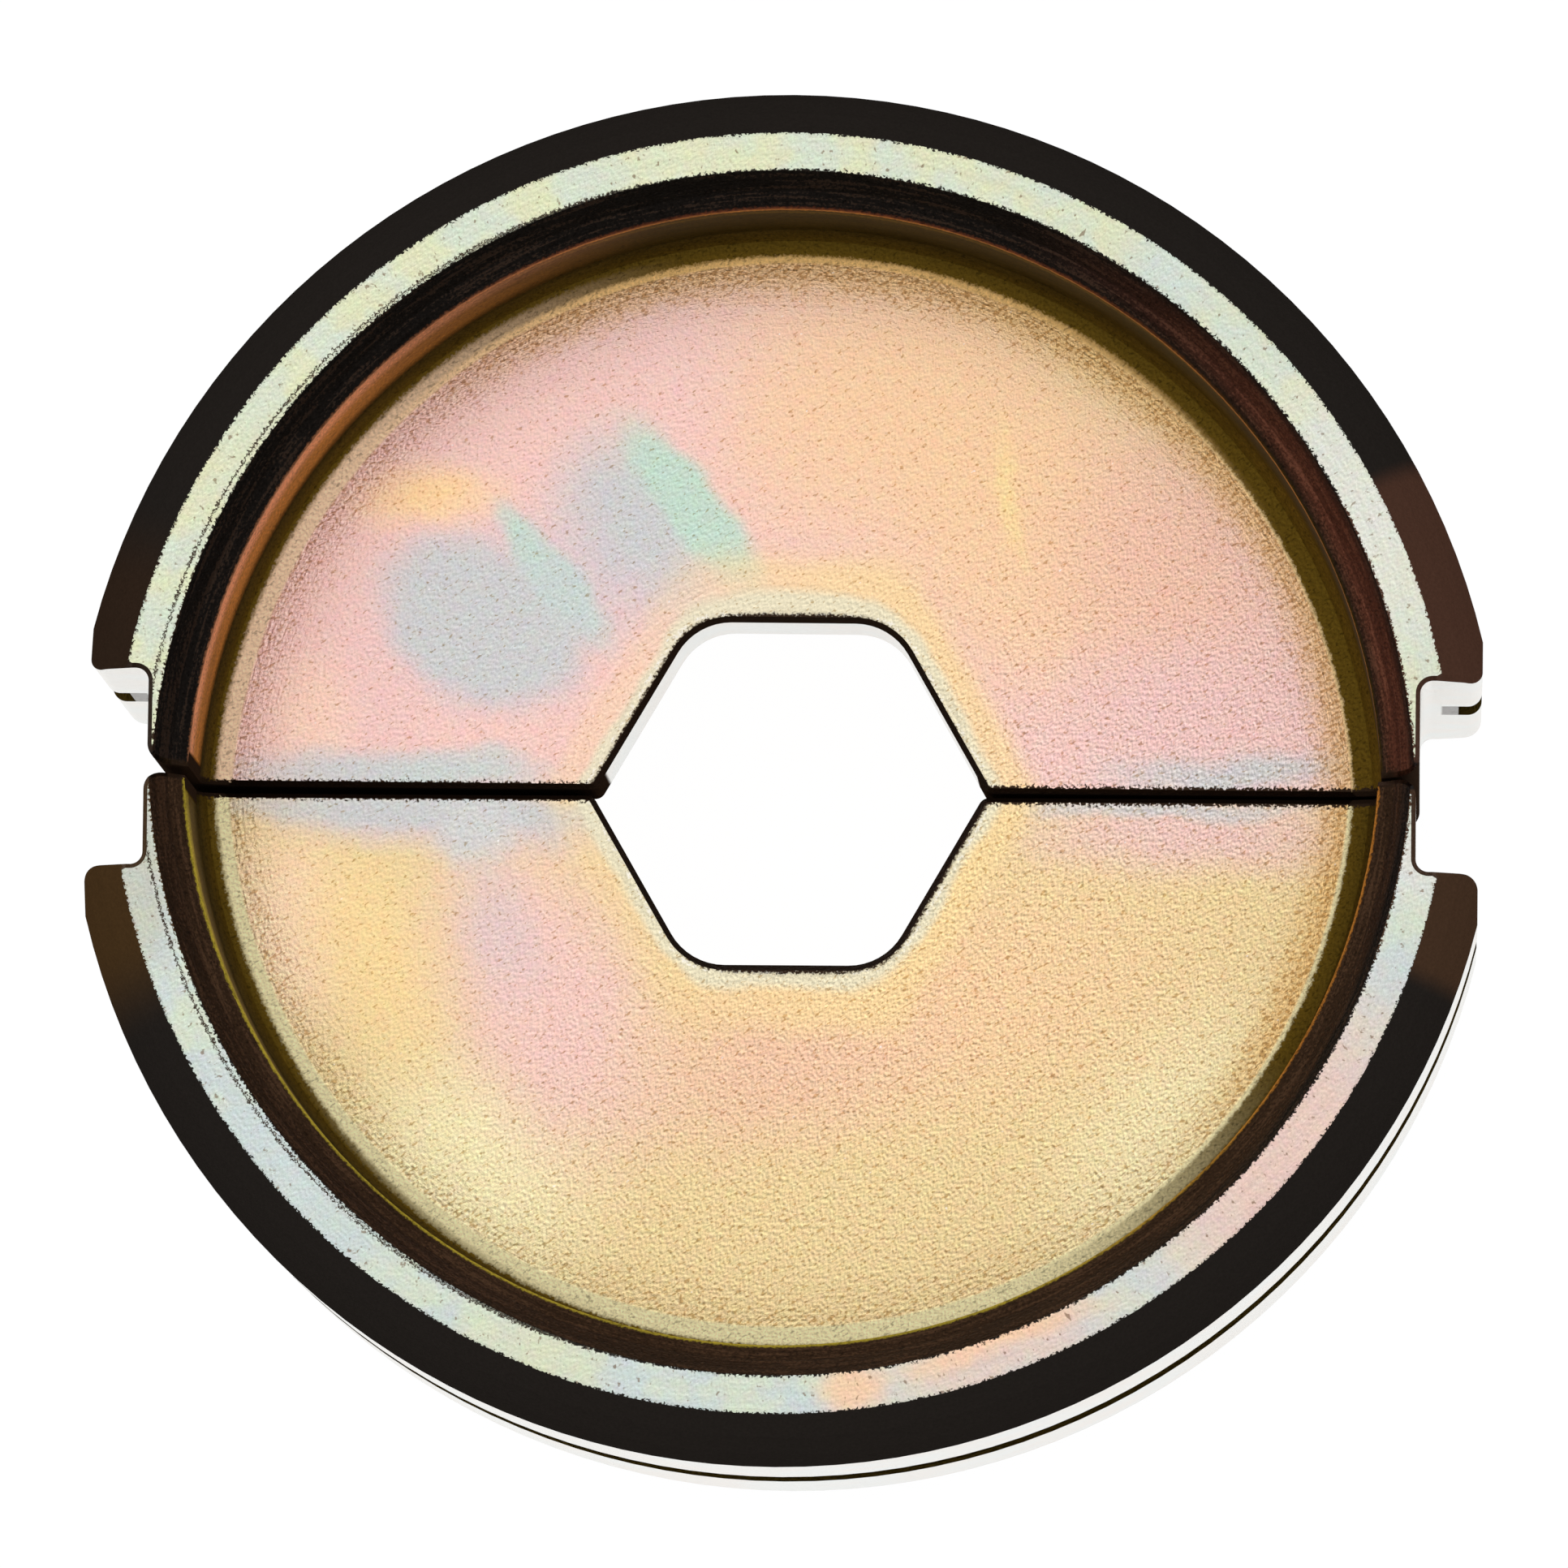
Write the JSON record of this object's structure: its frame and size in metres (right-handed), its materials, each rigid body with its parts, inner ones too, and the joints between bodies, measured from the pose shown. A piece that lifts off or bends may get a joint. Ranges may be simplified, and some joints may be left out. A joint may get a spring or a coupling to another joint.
{
  "type": "crimping die",
  "caption": "Half-round hexagonal crimping dies lying face to face, with a thick grooved rim round a thin recessed web and a hexagon opening at the parting line.",
  "frame": {"origin": "middle of the pair's footprint, on the surface that the back of the rims lies on", "axes": "+Z along the dies' axis to their front, +Y to the upper half, +X along the parting line"},
  "size_m": [0.049, 0.0486, 0.02],
  "materials": {
    "plated_steel": "iridescent yellow chromate over zinc, machined"
  },
  "bodies": {
    "root": {"upper_die_half": "plated_steel", "lower_die_half": "plated_steel"}
  },
  "joints": []
}
